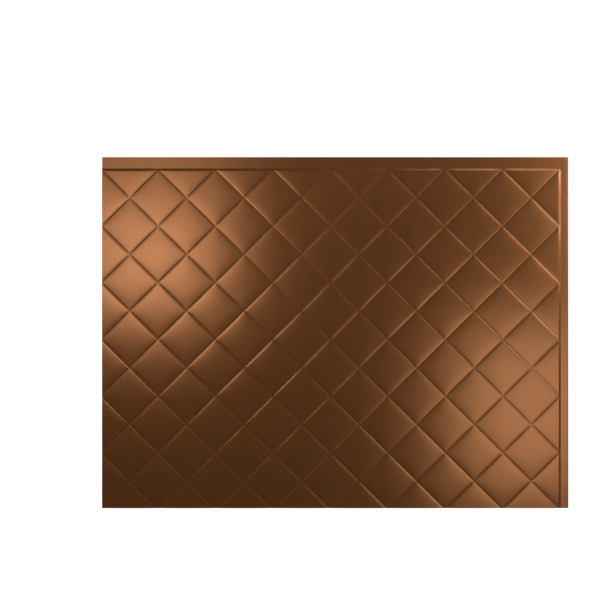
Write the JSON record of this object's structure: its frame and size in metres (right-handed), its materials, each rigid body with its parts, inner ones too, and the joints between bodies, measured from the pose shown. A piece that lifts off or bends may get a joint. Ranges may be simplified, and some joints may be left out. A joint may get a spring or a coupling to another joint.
{
  "type": "backsplash panel",
  "caption": "Thin formed vinyl wall panel with a quilted diamond relief and a plain lapping flange along two edges, in a satin bronze finish.",
  "frame": {"origin": "centre of the sheet's outline, on the plane of the flange's back", "axes": "+X towards the narrow flange, +Y towards the wide flange, +Z out of the decorated face"},
  "size_m": [0.616, 0.4636, 0.0025],
  "materials": {
    "bronze_vinyl": "satin metallic bronze face on thin formed vinyl"
  },
  "bodies": {
    "root": {"quilted_panel": "bronze_vinyl"}
  },
  "joints": []
}
